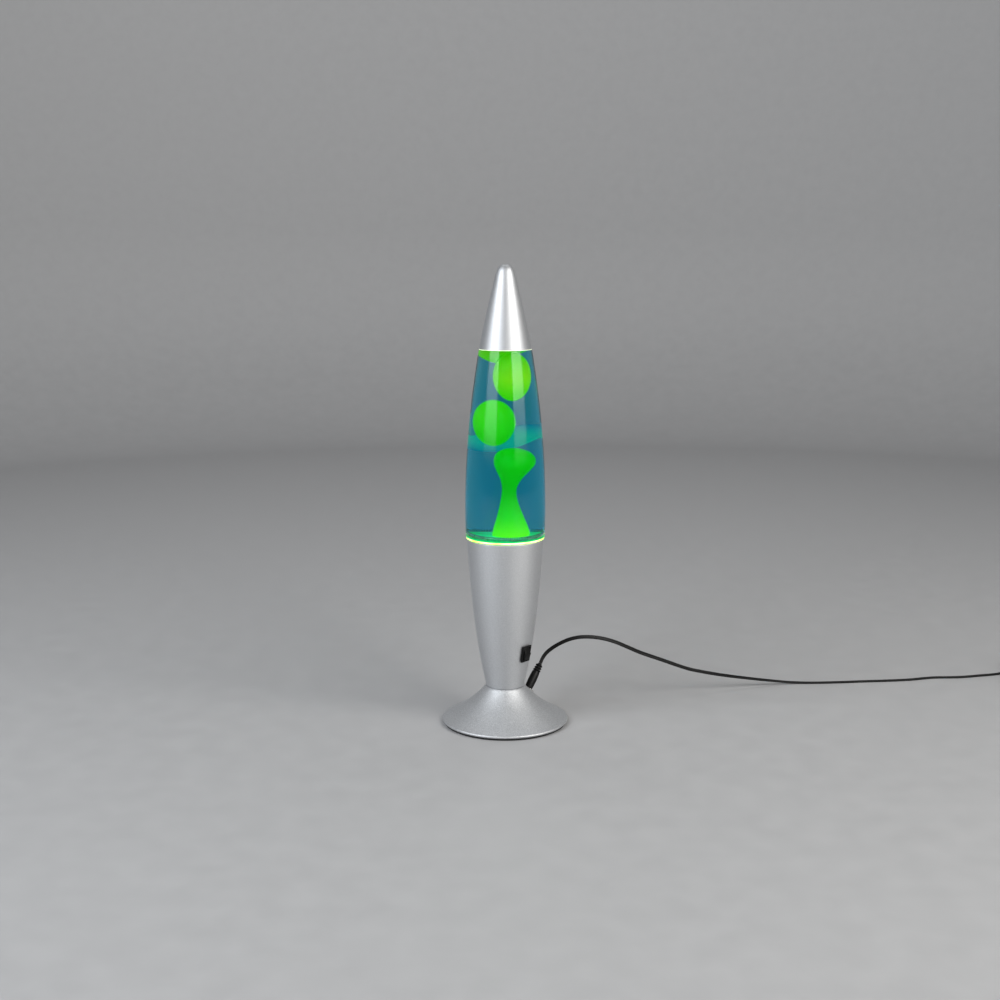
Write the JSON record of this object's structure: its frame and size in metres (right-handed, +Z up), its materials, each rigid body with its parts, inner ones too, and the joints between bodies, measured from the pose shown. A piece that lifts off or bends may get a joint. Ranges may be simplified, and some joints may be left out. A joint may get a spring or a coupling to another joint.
{
  "type": "lava lamp",
  "caption": "Rocket lava lamp: flared satin foot, tall stem with a rocker switch, tapering bottle of liquid and wax, cone cap, and a lead with its plug-in supply.",
  "frame": {"origin": "centre of the foot's underside, on the table", "axes": "+Z up along the lamp's axis, -Y towards the front, +X to the right, the side the switch and the lead are on"},
  "size_m": [0.642, 0.2316, 0.4182],
  "materials": {
    "satin_silver": "satin metallic paint",
    "steel": "zinc plated",
    "bright_nickel": "polished nickel",
    "black_plastic": "semi-gloss moulded",
    "black_cable": "satin sheath",
    "black_foam": "matt foam",
    "black_rubber": "matt",
    "ceramic": "unglazed",
    "clear_glass": "clear polished",
    "teal_liquid": "clear tinted liquid",
    "green_wax": "translucent wax",
    "copper": "bright",
    "red_wire": "satin sheath"
  },
  "bodies": {
    "stand": {"base_pad": "black_foam", "foot_shell": "satin_silver", "base_plate": "black_plastic", "base_screw_1": "steel", "base_screw_2": "steel", "base_screw_3": "steel", "stem_shell": "satin_silver", "seat_ring": "black_rubber", "threaded_tube": "steel", "foot_washer": "steel", "foot_nut": "steel", "stem_washer": "steel", "stem_nut": "steel", "holder_nut_lower": "steel", "holder_nut_upper": "steel", "wire_grommet": "black_rubber", "holder_bracket": "steel", "lamp_holder": "ceramic", "holder_screw_1": "steel", "holder_screw_2": "steel", "reflector_dish": "bright_nickel", "switch_body": "black_plastic", "switch_terminal_1": "copper", "switch_terminal_2": "copper", "jack_body": "black_plastic", "jack_nut": "bright_nickel", "jack_pin": "copper", "wire_jack_to_lamp": "red_wire", "wire_jack_to_switch": "black_cable", "wire_switch_to_lamp": "black_cable", "cord_lead": "black_cable", "cord_tail": "black_cable", "cord_coil": "black_cable", "cord_tie": "black_plastic", "adapter_back": "black_plastic", "adapter_front": "black_plastic", "adapter_relief": "black_plastic", "adapter_pin_1": "bright_nickel", "adapter_pin_2": "bright_nickel"},
    "bottle": {"glass_bottle": "clear_glass", "bottle_liquid": "teal_liquid", "wax_column": "green_wax", "wax_ball_upper": "green_wax", "wax_ball_lower": "green_wax", "wax_top_pool": "green_wax", "wax_back_blob": "green_wax", "wax_heat_ring": "steel", "crown_cap": "steel", "crown_liner": "black_rubber"},
    "cap": {"cap_shell": "satin_silver"},
    "rocker": {"switch_rocker": "black_plastic"},
    "plug": {"plug_body": "black_plastic", "plug_barrel": "bright_nickel"},
    "bulb": {"bulb_capsule": "clear_glass", "bulb_pin_1": "steel", "bulb_pin_2": "steel"}
  },
  "joints": [
    {"name": "bottle_lift", "type": "slide", "parent": "stand", "child": "bottle", "axis": [0, 0, 1], "range_m": [0, 0.04]},
    {"name": "cap_lift", "type": "slide", "parent": "bottle", "child": "cap", "axis": [0, 0, 1], "range_m": [0, 0.085]},
    {"name": "rocker_tilt", "type": "hinge", "parent": "stand", "child": "rocker", "pos_m": [0.01855, -0.01658, 0.06889], "axis": [0.6665, 0.7455, 0], "range_deg": [0, 20]},
    {"name": "plug_pull", "type": "slide", "parent": "stand", "child": "plug", "axis": [0.4317, 0.4795, 0.764], "range_m": [0, 0.012], "deforming": ["cord_lead"]},
    {"name": "bulb_pull", "type": "slide", "parent": "stand", "child": "bulb", "axis": [0, 0, 1], "range_m": [0, 0.012]}
  ]
}
